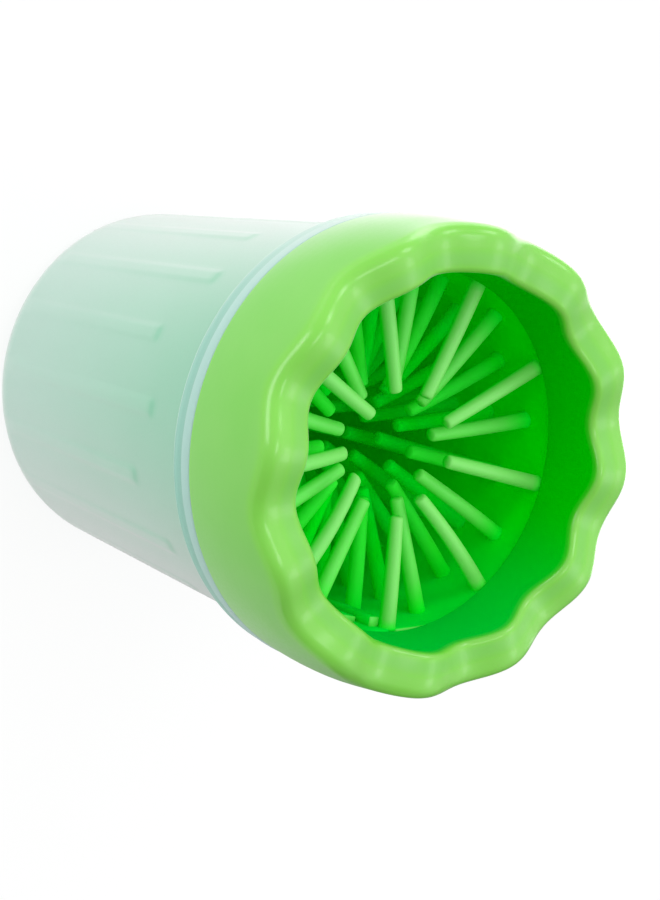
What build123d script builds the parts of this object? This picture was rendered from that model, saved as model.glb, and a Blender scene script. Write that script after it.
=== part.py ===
"""Paw washer cup: a translucent cup, a screw-on mouth collar with a wavy rim, the seal between
them, and a removable silicone sleeve lined with soft bristles.

Frame: millimetres, +Z up along the cup's axis, origin at the centre of the resting face.
Directions around the cup are degrees about +Z, measured from +X.
"""
from build123d import *
from math import cos, pi, radians, sin
import os

# Cup
BASE_RADIUS = 39.1            # tapered outer wall, carried down to the resting face
SHOULDER_RADIUS = 42.9        # tapered outer wall where it meets the flange
FLANGE_BOTTOM = 87.9
FLANGE_TOP = 93.2
FLANGE_RADIUS = 46.0
FLANGE_LOWER_FILLET = 1.9
FLANGE_UPPER_FILLET = 0.4
NECK_TOP = 110.4              # height of the sealing lip
NECK_INNER_RADIUS = 41.0
NECK_OUTER_RADIUS = 42.7
CUP_WALL = 2.0
FLOOR_THICKNESS = 2.2
FLOOR_FILLET = 0.7
FOOT_RECESS = 1.0             # depth of the hollow under the base
FOOT_RING_INNER_RADIUS = 28.0
BASE_FILLET = 5.5

# Grip ribs on the cup, long and short in turn
RIB_COUNT = 18
RIB_DIRECTION = 18.2          # the first rib, a short one
RIB_WIDTH = 3.8
RIB_BOTTOM = 9.0
RIB_TOPS = (65.4, 71.8)
RIB_RISE_AT_BOTTOM = 0.15     # how far a rib stands out of the wall
RIB_RISE_AT_TOP = 0.6
RIB_ROOT_DEPTH = 0.8          # how far a rib is sunk into the wall

# Screw thread between neck and collar
THREAD_LEAD = 4.0
THREAD_TURNS = 1.25
THREAD_HEIGHT = 1.0
THREAD_ROOT_WIDTH = 2.4
THREAD_CREST_WIDTH = 1.0
THREAD_ROOT_DEPTH = 0.4       # how far a thread is sunk into the wall that carries it
NECK_THREAD_START = 97.5      # height of the neck thread's centre line at its lower end

# Collar
COLLAR_BOTTOM = 93.4
COLLAR_RIM = 115.8            # mean height of the wavy rim
COLLAR_LOWER_RADIUS = 46.0
COLLAR_BULGE_RADIUS = 46.5
COLLAR_BULGE_HEIGHT = 103.0
COLLAR_UPPER_RADIUS = 45.5    # at the top of the blank
COLLAR_LOWER_FILLET = 0.5
SKIRT_INNER_RADIUS = 44.1
MOUTH_RADIUS = 36.5
BORE_LOWER_RADIUS = 36.0
BORE_TUBE_OUTER_RADIUS = 39.0
BORE_TUBE_BOTTOM = 102.3
RIM_UNDERSIDE = 112.0
RIM_OUTER_FILLET = 2.6
RIM_INNER_FILLET = 1.8
WAVE_LOBES = 12
WAVE_AMPLITUDE = 1.5
WAVE_DIRECTION = 9.75         # the first crest
WAVE_POINTS_PER_LOBE = 8

# Seal ring
SEAL_INNER_RADIUS = 40.0
SEAL_OUTER_RADIUS = 43.6
SEAL_FILLET = 0.4
SEAL_CLEARANCE = 0.05         # to the neck's lip and to the collar

# Bristle sleeve
SLEEVE_BOTTOM_RADIUS = 36.5   # outer, at the cup's floor
SLEEVE_TOP_RADIUS = 37.9      # outer, at its upper edge
SLEEVE_WALL = 1.2
SLEEVE_CLEARANCE = 0.05       # above the cup's floor
SLEEVE_TOP = 102.2            # just below the collar's bore tube
RIDGE_DIRECTION = 8.5         # stiffening ridge along the rolled sheet's seam
RIDGE_ANGLE = 4.0
RIDGE_HEIGHT = 3.0            # inwards from the sheet
RIDGE_TOP = 99.6
FLAP_DIRECTION = 2.0          # overlapping end of the sheet, beside the ridge
FLAP_ANGLE = 9.0
FLAP_HEIGHT = 1.0
FLAP_TOP = 96.0
BRISTLE_ROWS = 16
BRISTLES_PER_ROW = 9
BRISTLE_DIRECTION = 13.0      # first bristle of the top row
BRISTLE_TOP_ROW = 99.5
BRISTLE_ROW_PITCH = 5.7
BRISTLE_TIP_DISTANCE = 11.5   # from the cup's axis to the tips
BRISTLE_BASE_RADIUS = 1.7
BRISTLE_TIP_RADIUS = 1.4
BRISTLE_TIP_FILLET = 0.4
BRISTLE_ROOT_DEPTH = 0.4      # how far a bristle is sunk into the sleeve's wall

FULL_TURN = 360


def wall_radius(height):
    """Radius of the cup's tapered outer wall at a height."""
    return BASE_RADIUS + (SHOULDER_RADIUS - BASE_RADIUS) * height / FLANGE_BOTTOM


def round_corner(face, radius, height, size):
    """Round the corner of a section that lies nearest to (radius, height)."""
    corner = face.vertices().sort_by_distance((radius, height, 0))[0]
    return fillet(corner, size)


def turned(section, arc=FULL_TURN):
    """Turn a section, drawn as radius and height, about the cup's axis."""
    return revolve(Plane.XZ * section, axis=Axis.Z, revolution_arc=arc)


def thread(wall, crest, start_height):
    """A blunt-ended helical thread that grows from a cylindrical wall to its crest radius."""
    outwards = 1 if crest > wall else -1
    root = wall - outwards * THREAD_ROOT_DEPTH
    path = Edge.make_helix(THREAD_LEAD, THREAD_LEAD * THREAD_TURNS, root)
    profile = Polyline(
        (root, 0, -THREAD_ROOT_WIDTH / 2),
        (crest, 0, -THREAD_CREST_WIDTH / 2),
        (crest, 0, THREAD_CREST_WIDTH / 2),
        (root, 0, THREAD_ROOT_WIDTH / 2),
        close=True,
    )
    return Pos(0, 0, start_height) * sweep(make_face(profile), path=path, is_frenet=True)


def cup_shell():
    """The cup's wall, floor, foot ring, flange and plain neck."""
    floor_top = FOOT_RECESS + FLOOR_THICKNESS
    floor_radius = wall_radius(floor_top) - CUP_WALL
    section = make_face(
        Polyline(
            (0, FOOT_RECESS),
            (FOOT_RING_INNER_RADIUS, FOOT_RECESS),
            (FOOT_RING_INNER_RADIUS + FOOT_RECESS, 0),
            (BASE_RADIUS, 0),
            (SHOULDER_RADIUS, FLANGE_BOTTOM),
            (FLANGE_RADIUS, FLANGE_BOTTOM),
            (FLANGE_RADIUS, FLANGE_TOP),
            (NECK_OUTER_RADIUS, FLANGE_TOP),
            (NECK_OUTER_RADIUS, NECK_TOP),
            (NECK_INNER_RADIUS, NECK_TOP),
            (NECK_INNER_RADIUS, FLANGE_BOTTOM),
            (floor_radius, floor_top),
            (0, floor_top),
            close=True,
        )
    )
    section = round_corner(section, BASE_RADIUS, 0, BASE_FILLET)
    section = round_corner(section, FLANGE_RADIUS, FLANGE_BOTTOM, FLANGE_LOWER_FILLET)
    section = round_corner(section, FLANGE_RADIUS, FLANGE_TOP, FLANGE_UPPER_FILLET)
    section = round_corner(section, floor_radius, floor_top, FLOOR_FILLET)
    return turned(section)


def grip_rib(direction, top):
    """A straight rib up the cup's wall that ends square below the flange."""
    side = make_face(
        Polyline(
            (wall_radius(RIB_BOTTOM) - RIB_ROOT_DEPTH, RIB_BOTTOM),
            (wall_radius(RIB_BOTTOM) + RIB_RISE_AT_BOTTOM, RIB_BOTTOM),
            (wall_radius(top) + RIB_RISE_AT_TOP, top),
            (wall_radius(top) - RIB_ROOT_DEPTH, top),
            close=True,
        )
    )
    rib = extrude(Plane.XZ * side, RIB_WIDTH / 2, both=True)
    return Rot(0, 0, direction) * rib


def cup_body():
    cup = cup_shell()
    cup += thread(NECK_OUTER_RADIUS, NECK_OUTER_RADIUS + THREAD_HEIGHT, NECK_THREAD_START)
    ribs = []
    for i in range(RIB_COUNT):
        direction = RIB_DIRECTION + i * FULL_TURN / RIB_COUNT
        ribs.append(grip_rib(direction, RIB_TOPS[i % len(RIB_TOPS)]))
    return cup + ribs


def wave_curve(radius):
    """A closed curve at a radius that rises and falls with the rim's wave."""
    count = WAVE_LOBES * WAVE_POINTS_PER_LOBE
    points = []
    for i in range(count):
        angle = 2 * pi * i / count
        wave = cos(WAVE_LOBES * (angle - radians(WAVE_DIRECTION)))
        points.append(
            (radius * cos(angle), radius * sin(angle), COLLAR_RIM + WAVE_AMPLITUDE * wave)
        )
    return Spline(*points, periodic=True)


def space_above_wave():
    """Everything above the wavy rim, as a solid to cut away."""
    inside = wave_curve(MOUTH_RADIUS - RIM_INNER_FILLET)
    outside = wave_curve(COLLAR_BULGE_RADIUS + RIM_OUTER_FILLET)
    surface = Face.make_surface_from_curves(outside.edge(), inside.edge())
    return Solid.extrude(surface, Vector(0, 0, COLLAR_RIM - COLLAR_BOTTOM))


def collar_blank():
    """The collar as a turned shape, taller than the rim's crests."""
    blank_top = COLLAR_RIM + 2 * WAVE_AMPLITUDE
    outside = ThreePointArc(
        (COLLAR_LOWER_RADIUS, COLLAR_BOTTOM),
        (COLLAR_BULGE_RADIUS, COLLAR_BULGE_HEIGHT),
        (COLLAR_UPPER_RADIUS, blank_top),
    )
    rest = Polyline(
        (COLLAR_UPPER_RADIUS, blank_top),
        (MOUTH_RADIUS, blank_top),
        (BORE_LOWER_RADIUS, BORE_TUBE_BOTTOM),
        (BORE_TUBE_OUTER_RADIUS, BORE_TUBE_BOTTOM),
        (BORE_TUBE_OUTER_RADIUS, RIM_UNDERSIDE),
        (SKIRT_INNER_RADIUS, RIM_UNDERSIDE),
        (SKIRT_INNER_RADIUS, COLLAR_BOTTOM),
        (COLLAR_LOWER_RADIUS, COLLAR_BOTTOM),
    )
    section = make_face([outside, rest])
    section = round_corner(section, COLLAR_LOWER_RADIUS, COLLAR_BOTTOM, COLLAR_LOWER_FILLET)
    return turned(section)


def wavy_edges(ring):
    """The rim's two closed wavy edges, the mouth's first."""
    edges = ring.edges().filter_by(lambda edge: edge.is_closed)
    return edges.filter_by(lambda edge: edge.center().Z > RIM_UNDERSIDE + 1).sort_by(
        SortBy.LENGTH
    )


def collar():
    """The screw-on mouth ring, with its wavy rim, bore tube and inside thread."""
    ring = collar_blank() - space_above_wave()
    ring = fillet(wavy_edges(ring)[-1], RIM_OUTER_FILLET)
    ring = fillet(wavy_edges(ring)[0], RIM_INNER_FILLET)
    thread_start = NECK_THREAD_START - THREAD_LEAD / 2
    return ring + thread(SKIRT_INNER_RADIUS, SKIRT_INNER_RADIUS - THREAD_HEIGHT, thread_start)


def seal_ring():
    """The flat gasket between the neck's lip and the underside of the rim."""
    bottom = NECK_TOP + SEAL_CLEARANCE
    top = RIM_UNDERSIDE - SEAL_CLEARANCE
    section = make_face(
        Polyline(
            (SEAL_INNER_RADIUS, bottom),
            (SEAL_OUTER_RADIUS, bottom),
            (SEAL_OUTER_RADIUS, top),
            (SEAL_INNER_RADIUS, top),
            close=True,
        )
    )
    return turned(fillet(section.vertices(), SEAL_FILLET))


def sheet_radius(height):
    """Radius of the middle of the sleeve's slightly tapered sheet at a height."""
    bottom = FOOT_RECESS + FLOOR_THICKNESS + SLEEVE_CLEARANCE
    rise = (height - bottom) / (SLEEVE_TOP - bottom)
    taper = SLEEVE_TOP_RADIUS - SLEEVE_BOTTOM_RADIUS
    return SLEEVE_BOTTOM_RADIUS + taper * rise - SLEEVE_WALL / 2


def sheet_band(inwards, outwards, top, direction=0, arc=FULL_TURN):
    """A band that follows the sheet from the cup's floor up to a height, centred on a direction."""
    bottom = FOOT_RECESS + FLOOR_THICKNESS + SLEEVE_CLEARANCE
    section = make_face(
        Polyline(
            (sheet_radius(bottom) - inwards, bottom),
            (sheet_radius(bottom) + outwards, bottom),
            (sheet_radius(top) + outwards, top),
            (sheet_radius(top) - inwards, top),
            close=True,
        )
    )
    return Rot(0, 0, direction - arc / 2) * turned(section, arc)


def bristle(direction, height):
    """One tapered bristle, from the sleeve's sheet straight towards the cup's axis."""
    root = sheet_radius(height) - SLEEVE_WALL / 2 + BRISTLE_ROOT_DEPTH
    length = root - BRISTLE_TIP_DISTANCE
    rod = Cone(
        BRISTLE_BASE_RADIUS,
        BRISTLE_TIP_RADIUS,
        length,
        align=(Align.CENTER, Align.CENTER, Align.MIN),
    )
    rod = fillet(rod.edges().group_by(Axis.Z)[-1], BRISTLE_TIP_FILLET)
    inwards = Plane(origin=(root, 0, height), z_dir=(-1, 0, 0))
    return Rot(0, 0, direction) * (inwards * rod)


def bristle_sleeve():
    """The rolled silicone sheet with its ridged seam and staggered rows of bristles."""
    half_wall = SLEEVE_WALL / 2
    sheet = sheet_band(half_wall, half_wall, SLEEVE_TOP)
    ridge = sheet_band(half_wall + RIDGE_HEIGHT, 0, RIDGE_TOP, RIDGE_DIRECTION, RIDGE_ANGLE)
    flap = sheet_band(half_wall + FLAP_HEIGHT, 0, FLAP_TOP, FLAP_DIRECTION, FLAP_ANGLE)
    step = FULL_TURN / BRISTLES_PER_ROW
    bristles = []
    for row in range(BRISTLE_ROWS):
        for i in range(BRISTLES_PER_ROW):
            direction = BRISTLE_DIRECTION + (i + row % 2 / 2) * step
            bristles.append(bristle(direction, BRISTLE_TOP_ROW - row * BRISTLE_ROW_PITCH))
    return sheet + [ridge, flap] + bristles


PARTS = {
    "cup_body": cup_body,
    "collar": collar,
    "seal_ring": seal_ring,
    "bristle_sleeve": bristle_sleeve,
}

os.makedirs("parts", exist_ok=True)
for name, build in PARTS.items():
    export_step(build(), f"parts/{name}.step")
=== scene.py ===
"""Looks of the paw washer cup: finished meshes, materials, studio light and camera."""
import math
import random

import bpy
from mathutils import Matrix, Vector


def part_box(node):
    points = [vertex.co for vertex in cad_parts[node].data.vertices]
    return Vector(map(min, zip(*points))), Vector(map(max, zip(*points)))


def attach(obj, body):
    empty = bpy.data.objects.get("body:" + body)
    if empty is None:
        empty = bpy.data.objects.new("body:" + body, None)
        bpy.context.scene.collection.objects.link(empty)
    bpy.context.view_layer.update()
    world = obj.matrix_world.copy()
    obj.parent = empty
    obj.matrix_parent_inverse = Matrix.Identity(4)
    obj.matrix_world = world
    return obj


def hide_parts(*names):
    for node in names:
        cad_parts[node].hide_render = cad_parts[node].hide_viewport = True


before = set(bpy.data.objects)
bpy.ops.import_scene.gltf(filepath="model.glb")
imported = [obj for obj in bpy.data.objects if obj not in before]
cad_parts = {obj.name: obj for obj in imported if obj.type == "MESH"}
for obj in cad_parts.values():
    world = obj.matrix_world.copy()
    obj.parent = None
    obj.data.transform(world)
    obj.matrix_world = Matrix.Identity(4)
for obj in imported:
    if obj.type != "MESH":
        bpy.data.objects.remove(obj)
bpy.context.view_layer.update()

scene = bpy.context.scene
MM = 0.001
FULL_TURN = 2 * math.pi

# ------------------------------------------------------------------ sizes, worked out from the frame

CUP_LOW, CUP_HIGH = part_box("cup_body")
COLLAR_LOW, COLLAR_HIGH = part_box("collar")
SEAL_LOW, SEAL_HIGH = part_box("seal_ring")
SLEEVE_LOW, SLEEVE_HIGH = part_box("bristle_sleeve")

FLANGE_RADIUS = CUP_HIGH.x
FLANGE_TOP = COLLAR_LOW.z - 0.05 * MM
FLANGE_BOTTOM = FLANGE_TOP - 6.1 * MM
FLANGE_STEP = FLANGE_TOP - 2.9 * MM
FLANGE_STEP_DEPTH = 0.3 * MM
NECK_TOP = CUP_HIGH.z
NECK_OUTER = FLANGE_RADIUS - 3.3 * MM
NECK_INNER = NECK_OUTER - 1.7 * MM
SHOULDER_RADIUS = FLANGE_RADIUS - 3.1 * MM
BASE_RADIUS = FLANGE_RADIUS - 6.9 * MM
CUP_WALL = 2.0 * MM
FLOOR_TOP = SLEEVE_LOW.z - 0.05 * MM
FOOT_RECESS = 1.0 * MM
FOOT_RING_INNER = 28.0 * MM
BASE_FILLET = 5.5 * MM

RIB_COUNT = 18
RIB_DIRECTION = math.radians(18.2)
RIB_HALF_CREST = 0.735 * MM
RIB_HALF_FOOT = 2.52 * MM
RIB_BOTTOM = 9.0 * MM
RIB_FADE = 4.0 * MM
RIB_TOPS = (65.4 * MM, 71.8 * MM)
RIB_RISE = 0.24 * MM
RIB_EDGE = 2.1 * MM

WAVE_LOBES = 12
WAVE_HEIGHT = 1.5 * MM
WAVE_DEPTH = 13.0 * MM
WAVE_DIRECTION = math.radians(9.75)
RIM_CROWN = 0.4 * MM
CREST_ABOVE_CAD = 0.8 * MM
RIM = COLLAR_HIGH.z - WAVE_HEIGHT + CREST_ABOVE_CAD
RIM_OUTER_FILLET = 2.6 * MM
RIM_INNER_FILLET = 1.2 * MM
COLLAR_RADIUS = COLLAR_HIGH.x
COLLAR_LOWER_RADIUS = COLLAR_RADIUS - 0.5 * MM
COLLAR_UPPER_RADIUS = COLLAR_RADIUS - 0.9 * MM
COLLAR_BULGE_HEIGHT = COLLAR_LOW.z + 9.6 * MM
MOUTH_RADIUS = COLLAR_RADIUS - 10.0 * MM
BORE_LOWER_RADIUS = MOUTH_RADIUS - 0.5 * MM
BORE_TUBE_OUTER = MOUTH_RADIUS + 2.5 * MM
BORE_TUBE_BOTTOM = SLEEVE_HIGH.z + 0.1 * MM
SKIRT_INNER = COLLAR_RADIUS - 2.4 * MM
RIM_UNDERSIDE = SEAL_HIGH.z + 0.05 * MM

THREAD_LEAD = 4.0 * MM
THREAD_TURNS = 1.25
THREAD_HEIGHT = 1.0 * MM
THREAD_HALF_ROOT = 1.15 * MM
THREAD_HALF_CREST = 0.6 * MM
NECK_THREAD_START = COLLAR_LOW.z + 4.1 * MM

SLEEVE_TOP_RADIUS = SLEEVE_HIGH.x
SLEEVE_BOTTOM_RADIUS = SLEEVE_TOP_RADIUS - 1.4 * MM
SLEEVE_WALL = 1.2 * MM
ROOT_DEPTH = 0.3 * MM
SEAM_DIRECTION = math.radians(8.5)
SEAM_LEAN = 1.0 * MM
RIDGE_WIDTH = 2.5 * MM
RIDGE_REACH = 33.7 * MM
RIDGE_TOP = SLEEVE_HIGH.z - 2.6 * MM
FLAP_DIRECTION = SEAM_DIRECTION - math.radians(6.5)
FLAP_WIDTH = 4.5 * MM
FLAP_REACH = 34.6 * MM
FLAP_TOP = SLEEVE_HIGH.z - 6.2 * MM

BRISTLE_ROWS = 16
BRISTLES_PER_ROW = 9
BRISTLE_TOP_ROW = SLEEVE_HIGH.z - 1.8 * MM
BRISTLE_ROW_PITCH = 5.7 * MM
BRISTLE_DIRECTION = math.radians(13.0)
BRISTLE_PITCH = math.radians(39.5)
BRISTLE_TIP_DISTANCE = 11.5 * MM
BRISTLE_BASE_RADIUS = 1.7 * MM
BRISTLE_TIP_RADIUS = 1.4 * MM
# Top-row bristles that stand out of line: how many mm each tip sags, sways and falls short.
STRAY_BRISTLES = {
    0: (0.8, 0.0, 1.8),
    1: (1.9, -1.5, 0.0),
    7: (5.0, 0.0, 0.0),
    8: (0.8, -4.5, 0.0),
}


# ------------------------------------------------------------------ mesh helpers

def smooth_step(low, high, value):
    """0 below low, 1 above high, and an even curve between."""
    t = min(max((value - low) / (high - low), 0.0), 1.0)
    return t * t * (3 - 2 * t)


def rounded_outline(corners, closed, step=1.5 * MM, arc_steps=6):
    """Points along an outline of (radius, height, fillet) corners, with its corners rounded."""
    count = len(corners)
    points = []
    for i, (radius, height, fillet) in enumerate(corners):
        here = Vector((radius, height))
        if fillet == 0:
            points.append(here)
            continue
        before = Vector(corners[i - 1][:2]) - here
        after = Vector(corners[(i + 1) % count][:2]) - here
        half = before.angle(after) / 2
        reach = fillet / math.tan(half)
        centre = here + (before.normalized() + after.normalized()).normalized() * (
            fillet / math.sin(half)
        )
        start = here + before.normalized() * reach - centre
        end = here + after.normalized() * reach - centre
        sweep = start.angle_signed(end)
        for k in range(arc_steps + 1):
            turn = Matrix.Rotation(-sweep * k / arc_steps, 2)
            points.append(centre + turn @ start)
    spaced = []
    last = points[:1] if closed else []
    for a, b in zip(points, points[1:] + last):
        parts = max(1, math.ceil((b - a).length / step))
        spaced += [a.lerp(b, k / parts) for k in range(parts)]
    if not closed:
        spaced.append(points[-1])
    return [(p.x, p.y) for p in spaced]


def even_angles(count):
    """Angles evenly spaced round a full turn."""
    return [FULL_TURN * i / count for i in range(count)]


class Builder:
    """Collects closed skins of one piece, then makes a single smooth-shaded object of them."""

    def __init__(self):
        self.points = []
        self.faces = []
        self.masks = {}

    def add_point(self, point, **masks):
        """Adds a point, with its value in each named mask, and gives its index."""
        self.points.append(point)
        index = len(self.points) - 1
        for name, value in masks.items():
            self.masks.setdefault(name, {})[index] = value
        return index

    def add_grid(self, rings, wrap_rings=False):
        """Quads between rings of point indices; every ring is closed."""
        pairs = list(zip(rings, rings[1:]))
        if wrap_rings:
            pairs.append((rings[-1], rings[0]))
        for low, high in pairs:
            for i in range(len(low)):
                j = (i + 1) % len(low)
                self.faces.append((low[i], low[j], high[j], high[i]))

    def add_fan(self, ring, centre, flip):
        """Triangles from a ring of points to one in its middle."""
        for i in range(len(ring)):
            j = (i + 1) % len(ring)
            corner = (ring[j], ring[i], centre) if flip else (ring[i], ring[j], centre)
            self.faces.append(corner)

    def add_bar(self, rings):
        """A closed bar through rings of points, with a flat face at each end."""
        self.add_grid(rings)
        self.faces.append(tuple(rings[0][::-1]))
        self.faces.append(tuple(rings[-1]))

    def finish(self, name, body, material, node):
        """Makes the piece, which rides on a body and stands for a CAD node."""
        mesh = bpy.data.meshes.new(name)
        mesh.from_pydata(self.points, [], self.faces)
        mesh.validate()
        for mask, values in self.masks.items():
            layer = mesh.attributes.new(mask, "FLOAT", "POINT")
            layer.data.foreach_set("value", [values.get(i, 0.0) for i in range(len(self.points))])
        mesh.polygons.foreach_set("use_smooth", [True] * len(mesh.polygons))
        mesh.materials.append(material)
        piece = bpy.data.objects.new(name, mesh)
        scene.collection.objects.link(piece)
        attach(piece, body)
        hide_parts(node)


def at_angle(radius, angle, height, aside=0.0):
    """The point at a radius and an angle about the cup's axis, moved aside along the circle."""
    x = radius * math.cos(angle) - aside * math.sin(angle)
    y = radius * math.sin(angle) + aside * math.cos(angle)
    return x, y, height


def turned_skin(builder, outline, angles, shape=None, closed=True, mask=None):
    """Turns an outline about the cup's axis. An open outline starts and ends on the axis.

    shape(radius, height, angle) moves a point, and mask(radius, height, angle) gives its masks.
    """
    rings = []
    for radius, height in outline:
        if radius == 0:
            rings.append(builder.add_point((0, 0, height)))
            continue
        ring = []
        for angle in angles:
            r, z = shape(radius, height, angle) if shape else (radius, height)
            masks = mask(radius, height, angle) if mask else {}
            ring.append(builder.add_point(at_angle(r, angle, z), **masks))
        rings.append(ring)
    if closed:
        builder.add_grid(rings, wrap_rings=True)
        return
    builder.add_grid(rings[1:-1])
    builder.add_fan(rings[1], rings[0], True)
    builder.add_fan(rings[-2], rings[-1], False)


def thread_skin(builder, wall, crest, start):
    """A helical thread with tapered ends, standing on a cylindrical wall."""
    steps_per_turn = 120
    steps = round(steps_per_turn * THREAD_TURNS)
    fade = steps_per_turn / 12
    sunk = wall - 0.3 * (crest - wall)
    rings = []
    for i in range(steps + 1):
        grown = smooth_step(0, fade, min(i, steps - i))
        top = sunk + (crest - sunk) * (0.25 + 0.75 * grown)
        angle = FULL_TURN * i / steps_per_turn
        z = start + THREAD_LEAD * i / steps_per_turn
        section = (
            (sunk, z - THREAD_HALF_ROOT),
            (top, z - THREAD_HALF_CREST),
            (top, z + THREAD_HALF_CREST),
            (sunk, z + THREAD_HALF_ROOT),
        )
        ring = [builder.add_point(at_angle(radius, angle, height)) for radius, height in section]
        rings.append(ring if crest > wall else ring[::-1])
    builder.add_bar(rings)


# ------------------------------------------------------------------ material helpers

class Nodes:
    """A node tree, with short ways to add nodes and to join them."""

    def __init__(self, tree):
        self.tree = tree

    def put(self, socket, value):
        """Feeds a socket from another node's output, or sets it to a plain value."""
        if isinstance(value, bpy.types.NodeSocket):
            self.tree.links.new(value, socket)
        else:
            socket.default_value = value

    def node(self, kind, **inputs):
        """Adds a node, and feeds the inputs whose names are given, with _ for a space."""
        made = self.tree.nodes.new("ShaderNode" + kind)
        for name, value in inputs.items():
            self.put(made.inputs[name.replace("_", " ")], value)
        return made

    def mix(self, factor, first, second):
        """A colour between two others, each a plain (r, g, b) or a node's output."""
        made = self.node("Mix")
        made.data_type = "RGBA"
        self.put(made.inputs[0], factor)
        for socket, colour in ((made.inputs[6], first), (made.inputs[7], second)):
            self.put(socket, (*colour, 1.0) if isinstance(colour, tuple) else colour)
        return made.outputs[2]

    def between(self, factor, first, second):
        """A number between two others."""
        made = self.node("Mix")
        for socket, value in ((0, factor), (2, first), (3, second)):
            self.put(made.inputs[socket], value)
        return made.outputs[0]

    def ramp(self, value, low, high, to_low=0.0, to_high=1.0):
        """Maps low..high to to_low..to_high, with soft ends, and holds it outside."""
        made = self.node("MapRange", Value=value)
        made.interpolation_type = "SMOOTHSTEP"
        for socket, number in enumerate((low, high, to_low, to_high), start=1):
            self.put(made.inputs[socket], number)
        return made.outputs[0]

    def math(self, operation, first, second):
        made = self.node("Math")
        made.operation = operation
        self.put(made.inputs[0], first)
        self.put(made.inputs[1], second)
        return made.outputs[0]

    def place(self, axis):
        """The shaded point's place along an axis of the object."""
        point = self.node("TexCoord").outputs["Object"]
        return self.node("SeparateXYZ", Vector=point).outputs[axis]

    def noise(self, scale, detail=2.0):
        point = self.node("TexCoord").outputs["Object"]
        return self.node("TexNoise", Vector=point, Scale=scale, Detail=detail).outputs["Fac"]


class Shader(Nodes):
    """A new material and its nodes."""

    def __init__(self, name):
        self.material = bpy.data.materials.new(name)
        self.material.use_nodes = True
        super().__init__(self.material.node_tree)
        self.tree.nodes.clear()
        self.output = self.node("OutputMaterial")

    def facing(self):
        """0 where the surface is seen square on, 1 where it is seen edge on."""
        return self.node("LayerWeight", Blend=0.5).outputs["Facing"]

    def mask(self, name):
        """A mask that the mesh carries at its points."""
        made = self.node("Attribute")
        made.attribute_name = name
        return made.outputs["Fac"]

    def across(self, start, end):
        """0 to 1 along +X between two places."""
        return self.ramp(self.place("X"), start, end)

    def bump(self, value, strength, distance):
        made = self.node("Bump", Height=value, Strength=strength, Distance=distance)
        return made.outputs["Normal"]

    def show(self, surface):
        """Ends the material with its surface."""
        self.put(self.output.inputs["Surface"], surface.outputs[0])
        return self.material


# ------------------------------------------------------------------ materials

def frosted_material():
    """Milky polypropylene, greener where it is seen square on, as if the sleeve showed through.
    Painted sheen makes it paler edge on; on the flange, painted shade darkens its foot and its lower
    band, and its upper band is painted lighter, as lit.
    """
    s = Shader("frosted_polypropylene")
    at_base = (0.32, 0.58, 0.46)
    at_mouth = (0.20, 0.54, 0.34)
    painted_crease_shade = (0.14, 0.40, 0.31)
    shaded_lower_band = (0.21, 0.49, 0.39)
    lit_upper_band = (0.35, 0.60, 0.53)
    grazing_sheen_white = (0.66, 0.74, 0.69)
    clouded = (0.48, 0.72, 0.60)
    square_on = at_base
    # Greener towards the mouth. On the flange: painted shade at its foot and on its lower band, and
    # an upper band painted lighter, as lit.
    for start, end, colour in (
        (0.0, FLANGE_TOP, at_mouth),
        (FLANGE_BOTTOM - 0.2 * MM, FLANGE_BOTTOM + 0.1 * MM, painted_crease_shade),
        (FLANGE_BOTTOM + 0.5 * MM, FLANGE_BOTTOM + 1.2 * MM, shaded_lower_band),
        (FLANGE_STEP, FLANGE_STEP + 0.4 * MM, lit_upper_band),
    ):
        square_on = s.mix(s.ramp(s.place("Z"), start, end), square_on, colour)
    on_flange = s.ramp(s.place("Z"), FLANGE_BOTTOM - 0.2 * MM, FLANGE_BOTTOM)
    # Painted shade: on the flange the sheen fades towards +X, away from the key light.
    flange_side_shade = s.ramp(s.across(-FLANGE_RADIUS, FLANGE_RADIUS), 0.5, 0.9, 0.1, 0.8)
    sheen_kept = s.math("SUBTRACT", 1.0, s.math("MULTIPLY", on_flange, flange_side_shade))
    # Painted sheen: the shell turns paler where it is seen edge on, standing in for grazing
    # reflections.
    paler = s.math("MULTIPLY", s.ramp(s.facing(), 0.3, 1.0), sheen_kept)
    colour = s.mix(paler, square_on, grazing_sheen_white)
    colour = s.mix(s.ramp(s.noise(35.0), 0.3, 0.7, 0.0, 0.10), colour, clouded)
    grain = s.noise(2500.0, 3.0)
    surface = s.node(
        "BsdfPrincipled",
        Base_Color=colour,
        Roughness=s.ramp(grain, 0.3, 0.7, 0.38, 0.5),
        Subsurface_Weight=0.5,
        Subsurface_Radius=(1.0, 1.2, 1.1),
        Subsurface_Scale=5 * MM,
        Normal=s.bump(grain, 0.05, 0.1 * MM),
    )
    return s.show(surface)


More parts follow.
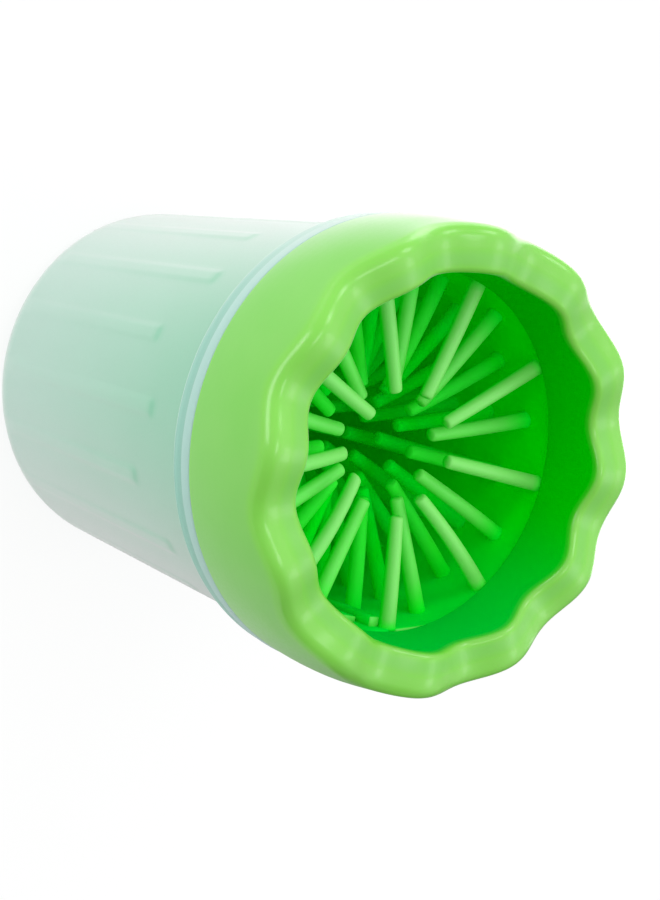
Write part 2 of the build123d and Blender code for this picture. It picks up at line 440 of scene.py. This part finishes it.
def collar_material():
    """Semi-gloss green, glossier at its edges. Painted light: a yellower glow along its edges, and a
    pale sheen edge on, on the key light's side. Painted shade: a deep saturated green in the bore
    and under the rim.
    """
    s = Shader("green_collar_plastic")
    green = (0.18, 0.58, 0.075)
    paler_green = (0.20, 0.595, 0.09)
    edge_glow_green = (0.21, 0.66, 0.03)
    key_side_sheen_colour = (0.55, 0.75, 0.50)
    shaded_bore_green = (0.0, 0.60, 0.0)
    bluer_shaded_bore_green = (0.0, 0.58, 0.04)
    edge = s.mask("edge")
    inside = s.mask("inside")
    colour = s.mix(s.ramp(s.noise(60.0), 0.3, 0.7), green, paler_green)
    # Painted glow: a yellower, brighter green along the outer edges and the mouth's lip.
    colour = s.mix(s.ramp(edge, 0.0, 1.0, 0.0, 0.45), colour, edge_glow_green)
    # Painted sheen: paler where seen edge on, only on the -X side, towards the key light.
    key_side_sheen = s.ramp(s.facing(), 0.55, 1.0, 0.0, 0.85)
    key_side_sheen = s.math("MULTIPLY", key_side_sheen, s.across(0.8 * COLLAR_RADIUS, 0.0))
    colour = s.mix(key_side_sheen, colour, key_side_sheen_colour)
    # Painted shade: the bore and the underside of the rim take a deeper, saturated green, bluer
    # towards +X, and reflect nothing.
    bore = s.mix(s.across(0.0, MOUTH_RADIUS), shaded_bore_green, bluer_shaded_bore_green)
    colour = s.mix(inside, colour, bore)
    grain = s.noise(1800.0)
    surface = s.node(
        "BsdfPrincipled",
        Base_Color=colour,
        Roughness=s.ramp(grain, 0.3, 0.7, 0.29, 0.35),
        Coat_Weight=s.ramp(edge, 0.75, 1.0, 0.0, 0.5),
        Coat_Roughness=0.16,
        Subsurface_Weight=0.15,
        Subsurface_Radius=(0.4, 1.0, 0.3),
        Subsurface_Scale=2 * MM,
        Specular_IOR_Level=s.ramp(inside, 0.0, 1.0, 0.5, 0.0),
        Normal=s.bump(grain, 0.02, 0.05 * MM),
    )
    return s.show(surface)


def silicone_material():
    """Saturated green silicone. Painted light: where the lit mask is set, the bristles take a paler
    green than the sheet that carries them.
    """
    s = Shader("green_silicone")
    rod = s.mask("rod")
    lit = s.mask("lit")
    outer = s.mask("outer")
    cloud = s.ramp(s.noise(90.0), 0.3, 0.7)
    sheet = s.mix(cloud, (0.0, 0.82, 0.0), (0.0, 0.88, 0.0))
    sheet = s.mix(s.across(0.0, SLEEVE_TOP_RADIUS), sheet, (0.0, 0.78, 0.045))
    # Painted shade: the sheet's far side, in the gap against the cup, is a darker green.
    shaded_outer_side = s.mix(cloud, (0.015, 0.36, 0.025), (0.02, 0.41, 0.035))
    sheet = s.mix(outer, sheet, shaded_outer_side)
    bristles = s.mix(cloud, (0.0, 0.82, 0.01), (0.0, 0.86, 0.03))
    # Painted light: the lit sides of the bristles take a paler green.
    bristles = s.mix(lit, bristles, (0.21, 0.73, 0.14))
    grain = s.noise(2200.0)
    surface = s.node(
        "BsdfPrincipled",
        Base_Color=s.mix(rod, sheet, bristles),
        Roughness=s.ramp(grain, 0.3, 0.7, 0.42, 0.55),
        Subsurface_Weight=0.15,
        Subsurface_Radius=(0.3, 1.0, 0.25),
        Subsurface_Scale=2 * MM,
        Specular_IOR_Level=s.math("MULTIPLY", s.math("MAXIMUM", lit, outer), 0.5),
        # Painted glow: all but the sheet's far side emits a faint green, standing in for light
        # passing through the silicone.
        Emission_Color=(0.0, 1.0, 0.0, 1.0),
        Emission_Strength=s.ramp(outer, 0.0, 1.0, 0.025, 0.0),
        Normal=s.bump(grain, 0.04, 0.06 * MM),
    )
    return s.show(surface)


def seal_material():
    """Milky silicone gasket."""
    s = Shader("clear_silicone")
    grain = s.noise(1500.0)
    surface = s.node(
        "BsdfPrincipled",
        Base_Color=s.mix(grain, (0.72, 0.78, 0.76), (0.80, 0.85, 0.83)),
        Roughness=s.ramp(grain, 0.3, 0.7, 0.4, 0.55),
        Subsurface_Weight=0.5,
        Subsurface_Radius=(1.0, 1.0, 1.0),
        Subsurface_Scale=2 * MM,
        Normal=s.bump(grain, 0.05, 0.08 * MM),
    )
    return s.show(surface)


# ------------------------------------------------------------------ cup

def wall_radius(height):
    """Outer radius of the cup's tapered wall."""
    return BASE_RADIUS + (SHOULDER_RADIUS - BASE_RADIUS) * height / FLANGE_BOTTOM


def cup_angles():
    """Columns round the cup, close together at the edges of the ribs."""
    before_crest = [-8, -6, -4.4, -3.2, -2.8, -2.4, -2.0, -1.6, -1.2, -0.8, -0.4]
    offsets = before_crest + [0] + [-x for x in reversed(before_crest)] + [10]
    step = FULL_TURN / RIB_COUNT
    return [
        RIB_DIRECTION + i * step + math.radians(x) for i in range(RIB_COUNT) for x in offsets
    ]


def on_ribs(radius, height, angle):
    """Raises the outer wall where a grip rib runs. A rib is crowned and fades at both ends."""
    if height > RIB_TOPS[1] + RIB_EDGE or abs(radius - wall_radius(height)) > 0.01 * MM:
        return radius, height
    turns = (angle - RIB_DIRECTION) / FULL_TURN * RIB_COUNT
    rib = round(turns)
    aside = abs(turns - rib) * FULL_TURN / RIB_COUNT * radius
    top = RIB_TOPS[rib % 2]
    along = smooth_step(RIB_BOTTOM, top, height)
    across = 1 - smooth_step(RIB_HALF_CREST, RIB_HALF_FOOT, aside)
    lower_end = smooth_step(RIB_BOTTOM - RIB_FADE, RIB_BOTTOM, height)
    upper_end = 1 - smooth_step(top, top + RIB_EDGE, height)
    rise = RIB_RISE * (0.5 + 0.5 * along) * lower_end
    return radius + rise * across * upper_end, height


def cup_outline():
    """Half of the cup's section, from the axis under the floor to the axis above it."""
    floor_radius = wall_radius(FLOOR_TOP) - CUP_WALL
    corners = [
        (0, FOOT_RECESS, 0),
        (FOOT_RING_INNER, FOOT_RECESS, 0.4 * MM),
        (FOOT_RING_INNER + FOOT_RECESS, 0, 0.4 * MM),
        (BASE_RADIUS, 0, BASE_FILLET),
    ]
    rib_ends = [top + k * RIB_EDGE / 3 for top in RIB_TOPS for k in range(4)]
    corners += [(wall_radius(z), z, 0) for z in rib_ends]
    corners += [
        (SHOULDER_RADIUS, FLANGE_BOTTOM, 0.7 * MM),
        (FLANGE_RADIUS - FLANGE_STEP_DEPTH, FLANGE_BOTTOM, 0.6 * MM),
        (FLANGE_RADIUS - FLANGE_STEP_DEPTH, FLANGE_STEP, 0.2 * MM),
        (FLANGE_RADIUS, FLANGE_STEP + FLANGE_STEP_DEPTH, 0.15 * MM),
        (FLANGE_RADIUS, FLANGE_TOP, 0.2 * MM),
        (NECK_OUTER, FLANGE_TOP, 0.3 * MM),
        (NECK_OUTER, NECK_TOP, 0.4 * MM),
        (NECK_INNER, NECK_TOP, 0.4 * MM),
        (NECK_INNER, FLANGE_BOTTOM, 2 * MM),
        (floor_radius, FLOOR_TOP, 0.7 * MM),
        (0, FLOOR_TOP, 0),
    ]
    return rounded_outline(corners, closed=False)


def build_cup():
    builder = Builder()
    turned_skin(builder, cup_outline(), cup_angles(), on_ribs, closed=False)
    thread_skin(builder, NECK_OUTER, NECK_OUTER + THREAD_HEIGHT, NECK_THREAD_START)
    builder.finish("cup_shell", "cup", frosted_material(), "cup_body")


# ------------------------------------------------------------------ collar

def on_wave(radius, height, angle):
    """Lifts, lowers and crowns the rim; the inside of the skirt stays level."""
    in_skirt = BORE_TUBE_OUTER - 0.5 * MM < radius < SKIRT_INNER + 0.5 * MM
    if in_skirt and height < RIM - RIM_INNER_FILLET:
        return radius, height
    weight = smooth_step(RIM - WAVE_DEPTH, RIM - RIM_OUTER_FILLET, height)
    wave = math.cos(WAVE_LOBES * (angle - WAVE_DIRECTION))
    across = (2 * radius - MOUTH_RADIUS - COLLAR_RADIUS) / (COLLAR_RADIUS - MOUTH_RADIUS)
    return radius, height + (WAVE_HEIGHT * wave - RIM_CROWN * across * across) * weight


def collar_mask(radius, height, _angle):
    """edge: the collar's outer edges and the mouth's. inside: the bore and under the rim."""
    from_fillet = math.hypot(radius - (COLLAR_RADIUS - RIM_OUTER_FILLET), height - RIM)
    from_mouth = math.hypot(radius - MOUTH_RADIUS, height - RIM)
    edge = max(
        1 - smooth_step(2.0 * MM, 5.0 * MM, from_fillet),
        1 - smooth_step(0.4 * MM, 1.0 * MM, height - COLLAR_LOW.z),
        1 - smooth_step(0.5 * MM, 2.2 * MM, from_mouth),
    )
    inside = 1 - smooth_step(RIM - 1.6 * MM, RIM - 0.2 * MM, height)
    return {"edge": edge, "inside": inside if radius < SKIRT_INNER + 0.5 * MM else 0.0}


def collar_outline():
    """The collar's section: an outer wall with a slight bulge, the rim, the bore and the skirt."""
    corners = [(COLLAR_LOWER_RADIUS, COLLAR_LOW.z, 0.25 * MM)]
    wall_steps = 10
    for k in range(1, wall_steps):
        z = COLLAR_LOW.z + (RIM - COLLAR_LOW.z) * k / wall_steps
        away = (z - COLLAR_BULGE_HEIGHT) / (COLLAR_BULGE_HEIGHT - COLLAR_LOW.z)
        if z < RIM - RIM_OUTER_FILLET:
            corners.append((COLLAR_RADIUS - 0.5 * MM * away**2, z, 0))
    corners += [
        (COLLAR_UPPER_RADIUS, RIM, RIM_OUTER_FILLET),
        (MOUTH_RADIUS, RIM, RIM_INNER_FILLET),
        (BORE_LOWER_RADIUS, BORE_TUBE_BOTTOM, 0.4 * MM),
        (BORE_TUBE_OUTER, BORE_TUBE_BOTTOM, 0.4 * MM),
        (BORE_TUBE_OUTER, RIM_UNDERSIDE, 0.5 * MM),
        (SKIRT_INNER, RIM_UNDERSIDE, 0.5 * MM),
        (SKIRT_INNER, COLLAR_LOW.z, 0.4 * MM),
    ]
    return rounded_outline(corners, closed=True, step=1.0 * MM, arc_steps=8)


def build_collar():
    builder = Builder()
    turned_skin(builder, collar_outline(), even_angles(360), on_wave, mask=collar_mask)
    start = NECK_THREAD_START - THREAD_LEAD / 2
    thread_skin(builder, SKIRT_INNER, SKIRT_INNER - THREAD_HEIGHT, start)
    builder.finish("collar_ring", "collar", collar_material(), "collar")


# ------------------------------------------------------------------ bristle sleeve

def sleeve_radius(height):
    """Inner radius of the slightly tapered sheet."""
    rise = (height - SLEEVE_LOW.z) / (SLEEVE_HIGH.z - SLEEVE_LOW.z)
    taper = SLEEVE_TOP_RADIUS - SLEEVE_BOTTOM_RADIUS
    return SLEEVE_BOTTOM_RADIUS + taper * rise - SLEEVE_WALL


def near_seam(angle, reach_back, reach_on):
    """1 at the seam, fading to 0 at reach_back degrees before it and reach_on beyond it."""
    aside = (math.degrees(angle - SEAM_DIRECTION) + 180) % 360 - 180
    if aside < 0:
        return 1 - smooth_step(0, reach_back, -aside)
    return 1 - smooth_step(0.3 * reach_on, reach_on, aside)


def on_seam(radius, height, angle):
    """The sheet leans inwards beside its seam, most of all at its upper edge."""
    lean = SEAM_LEAN * near_seam(angle, 14, 26)
    lean *= smooth_step(SLEEVE_LOW.z, SLEEVE_HIGH.z, height) ** 3
    return radius - lean, height


def sleeve_mask(radius, height, angle):
    """outer: the sheet's far side. lit: its upper edge beside the seam is painted paler, as if
    catching the light.
    """
    aside = math.degrees(angle - SEAM_DIRECTION)
    beside = smooth_step(4, 7, aside) * (1 - smooth_step(16, 24, aside))
    lit = beside * smooth_step(SLEEVE_HIGH.z - 0.4 * MM, SLEEVE_HIGH.z, height)
    outer = smooth_step(0.6, 0.9, (radius - sleeve_radius(height)) / SLEEVE_WALL)
    return {"lit": 0.7 * lit, "rod": lit, "outer": outer}


def add_seam_bar(builder, direction, width, reach, top):
    """An upright bar with softened edges, from the sheet inwards to a given radius."""
    soft = 0.3 * MM
    half = width / 2
    section = [(-half, 0), (-half, 1), (-half + soft, 1), (half - soft, 1), (half, 1), (half, 0)]
    steps = 20
    heights = [SLEEVE_LOW.z + 0.5 * MM]
    heights += [SLEEVE_LOW.z + (top - SLEEVE_LOW.z) * k / steps for k in range(1, steps)]
    heights += [top - soft, top - 0.3 * soft, top]
    rings = []
    for z in heights:
        shrink = soft * max(0.0, (z - (top - soft)) / soft) ** 2
        # Painted light: the bar's top face takes the paler lit green of the bristles.
        lit = 0.8 if z >= top - 0.3 * soft else 0.0
        sheet = sleeve_radius(z)
        ring = []
        for k, (aside, inwards) in enumerate(section):
            flat = max(-half + shrink, min(half - shrink, aside))
            wall = on_seam(sheet + ROOT_DEPTH, z, direction + flat / sheet)[0]
            depth = (wall - reach) * inwards
            if k in (1, 4):
                depth -= soft
            if k in (2, 3):
                depth -= shrink
            point = at_angle(wall - depth, direction, z, flat)
            ring.append(builder.add_point(point, rod=lit, lit=lit))
        rings.append(ring)
    builder.add_bar(rings)


def add_bristle(builder, direction, height, sag, sway, short):
    """One soft bristle: a flared root, a slim tapered rod with a slight sag, a rounded tip."""
    depth = BRISTLE_TOP_ROW - height
    # Painted light: the lit mask makes the upper side of each bristle paler; it weakens row by row
    # below the top row and fades towards the root, where shade falls.
    root_shade_reach = 0.12 if depth < BRISTLE_ROW_PITCH / 2 else 0.4
    pale = 1 - smooth_step(0, 2.6 * BRISTLE_ROW_PITCH, depth)
    root = on_seam(sleeve_radius(height) + ROOT_DEPTH, height, direction)[0]
    length = root - BRISTLE_TIP_DISTANCE - short
    sides = 20
    # How far along the bristle each ring is, and its width against the plain rod's.
    rows = [(0.0, 1.2), (0.015, 1.06), (0.04, 1.0)]
    rows += [(k / 10, 1.0) for k in range(1, 10)]
    rows += [(0.96, 1.0), (0.982, 0.98), (0.993, 0.9), (1.0, 0.72)]
    rings = []
    for along, swell in rows:
        radius = (BRISTLE_BASE_RADIUS + (BRISTLE_TIP_RADIUS - BRISTLE_BASE_RADIUS) * along) * swell
        bend = along * along
        ring = []
        for turn in even_angles(sides):
            aside = radius * math.cos(turn) + sway * bend
            up = radius * math.sin(turn) - sag * bend
            point = at_angle(root - length * along, direction, height + up, aside)
            lit = pale * smooth_step(-0.2, 0.5, math.sin(turn)) * smooth_step(0, root_shade_reach, along)
            ring.append(builder.add_point(point, rod=1.0, lit=lit))
        rings.append(ring)
    builder.add_bar(rings)


def add_bristles(builder):
    """Staggered rows of bristles. Each sags, sways and falls short by its own few tenths of a mm."""
    rng = random.Random(7)
    for row in range(BRISTLE_ROWS):
        height = BRISTLE_TOP_ROW - row * BRISTLE_ROW_PITCH
        for i in range(BRISTLES_PER_ROW):
            direction = BRISTLE_DIRECTION + (i + row % 2 / 2) * BRISTLE_PITCH
            sag = rng.uniform(0.6, 1.6)
            sway = rng.gauss(0, 0.4)
            short = rng.uniform(-0.4, 0.4)
            if row == 0 and i in STRAY_BRISTLES:
                sag, sway, short = STRAY_BRISTLES[i]
            add_bristle(builder, direction, height, sag * MM, sway * MM, short * MM)


def build_sleeve():
    builder = Builder()
    corners = [
        (sleeve_radius(SLEEVE_LOW.z), SLEEVE_LOW.z, 0.3 * MM),
        (SLEEVE_BOTTOM_RADIUS, SLEEVE_LOW.z, 0.3 * MM),
        (SLEEVE_TOP_RADIUS, SLEEVE_HIGH.z, 0.4 * MM),
        (sleeve_radius(SLEEVE_HIGH.z), SLEEVE_HIGH.z, 0.4 * MM),
    ]
    outline = rounded_outline(corners, closed=True, step=2 * MM, arc_steps=4)
    turned_skin(builder, outline, even_angles(240), on_seam, mask=sleeve_mask)
    add_seam_bar(builder, SEAM_DIRECTION, RIDGE_WIDTH, RIDGE_REACH, RIDGE_TOP)
    add_seam_bar(builder, FLAP_DIRECTION, FLAP_WIDTH, FLAP_REACH, FLAP_TOP)
    add_bristles(builder)
    material = silicone_material()
    builder.finish("bristle_sleeve_soft", "sleeve", material, "bristle_sleeve")


def finish_seal():
    """The gasket keeps its CAD shape and takes its finished material."""
    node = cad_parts["seal_ring"]
    node.data.materials.clear()
    node.data.materials.append(seal_material())


# ------------------------------------------------------------------ studio

KEY_DIRECTION = (-0.85, -0.35, 0.4)
BACK_DIRECTION = (0.0, 0.62, 0.78)
AMBIENT_LOW = 0.3
AMBIENT_HIGH = 0.90
BACK_GLOW = 0.55
FLOOR_SIDE = 12.0
FLOOR_SELF_LIT = 0.85
FLOOR_AS_SEEN = 1.02
FLOOR_BOUNCE_NEAR_KEY = 1.4
FLOOR_BOUNCE_FAR = 0.7
FLOOR_GLOW_BEHIND = 2.2

SOFTBOX_DISTANCE = 1.0
# Direction from the collar, width and height in metres, power in watts.
SOFTBOXES = {
    "side_box": ((-0.2, -0.97, 0.12), 0.5, 0.4, 2.1),
    "back_box": (BACK_DIRECTION, 0.5, 0.4, 1.1),
    "over_box": ((-0.09, -0.2, 0.98), 0.5, 0.25, 1.2),
    "top_box": ((-0.72, 0.15, 0.66), 0.4, 0.3, 1.3),
}

CAMERA_OFFSET = Vector((0.0887, -5.0674, 6.0467)) * FLANGE_RADIUS
CAMERA_TILT = math.radians(38.37)
CAMERA_ROLL = math.radians(106.3)
CAMERA_LENS = 72.74
CAMERA_SENSOR = 36.0


def floor_material():
    """White table, mostly self-lit so that shadows stay faint, and brighter on the key's side.

    Reflections see a brighter glowing patch of it behind the object.
    """
    s = Shader("studio_floor")
    colour = s.mix(s.noise(3.0), (0.88, 0.88, 0.88), (0.92, 0.92, 0.92))
    diffuse = s.node("BsdfDiffuse", Color=colour)
    x = s.place("X")
    path = s.node("LightPath")
    behind = s.ramp(s.place("Y"), 0.0, 0.12, 0.0, FLOOR_GLOW_BEHIND)
    behind = s.math("MULTIPLY", behind, s.ramp(x, -0.02, 0.06, 1.0, -0.35))
    behind = s.math("MULTIPLY", behind, path.outputs["Is Glossy Ray"])
    bounce = s.ramp(x, -0.35, 0.35, FLOOR_BOUNCE_NEAR_KEY, FLOOR_BOUNCE_FAR)
    bounce = s.math("ADD", bounce, behind)
    strength = s.between(path.outputs["Is Camera Ray"], bounce, FLOOR_AS_SEEN)
    glow = s.node("Emission", Strength=strength)
    mixed = s.node("MixShader")
    for socket, value in enumerate((FLOOR_SELF_LIT, diffuse.outputs[0], glow.outputs[0])):
        s.put(mixed.inputs[socket], value)
    return s.show(mixed)


def build_floor():
    mesh = bpy.data.meshes.new("floor")
    corners = [(x * FLOOR_SIDE, y * FLOOR_SIDE, 0) for x, y in ((-1, -1), (1, -1), (1, 1), (-1, 1))]
    mesh.from_pydata(corners, [], [(0, 1, 2, 3)])
    mesh.materials.append(floor_material())
    floor = bpy.data.objects.new("floor", mesh)
    scene.collection.objects.link(floor)


def glow_towards(nodes, direction, start, low, high):
    """Brightness of the surroundings, from low away from a direction to high towards it."""
    made = nodes.node("VectorMath")
    made.operation = "DOT_PRODUCT"
    nodes.put(made.inputs[0], nodes.node("TexCoord").outputs["Generated"])
    nodes.put(made.inputs[1], Vector(direction).normalized())
    return nodes.ramp(made.outputs["Value"], start, 1.0, low, high)


def build_world():
    """A white studio, brighter towards two directions; the camera sees it plain white."""
    world = bpy.data.worlds.new("studio")
    scene.world = world
    world.use_nodes = True
    nodes = Nodes(world.node_tree)
    background = world.node_tree.nodes["Background"]
    nodes.put(background.inputs["Color"], (1, 1, 1, 1))
    ambient = glow_towards(nodes, KEY_DIRECTION, -0.7, AMBIENT_LOW, AMBIENT_HIGH)
    back = glow_towards(nodes, BACK_DIRECTION, 0.55, 0.0, BACK_GLOW)
    seen = nodes.node("LightPath").outputs["Is Camera Ray"]
    strength = nodes.between(seen, nodes.math("ADD", ambient, back), 1.0)
    nodes.put(background.inputs["Strength"], strength)


def add_softbox(name, direction, width, height, power):
    """A rectangular light that faces the collar's lower edge on the axis."""
    target = Vector((0, 0, COLLAR_LOW.z))
    data = bpy.data.lights.new(name, "AREA")
    data.shape = "RECTANGLE"
    data.size = width
    data.size_y = height
    data.energy = power
    light = bpy.data.objects.new(name, data)
    scene.collection.objects.link(light)
    light.location = target + Vector(direction).normalized() * SOFTBOX_DISTANCE
    light.rotation_mode = "QUATERNION"
    light.rotation_quaternion = (target - light.location).to_track_quat("-Z", "Y")


def build_camera():
    """Looks down at the mouth and is rolled, so that the cup lies across the picture."""
    data = bpy.data.cameras.new("camera")
    data.sensor_width = CAMERA_SENSOR
    data.lens = CAMERA_LENS
    data.clip_start = 0.01
    camera = bpy.data.objects.new("camera", data)
    scene.collection.objects.link(camera)
    camera.location = Vector((0, 0, COLLAR_LOW.z)) + CAMERA_OFFSET
    camera.rotation_mode = "QUATERNION"
    turned = Matrix.Rotation(CAMERA_TILT, 3, "X") @ Matrix.Rotation(CAMERA_ROLL, 3, "Z")
    camera.rotation_quaternion = turned.to_quaternion()
    scene.camera = camera


build_cup()
build_collar()
build_sleeve()
finish_seal()
build_floor()
build_world()
for box_name, (direction, width, height, power) in SOFTBOXES.items():
    add_softbox(box_name, direction, width, height, power)
build_camera()
scene.view_settings.view_transform = "Standard"
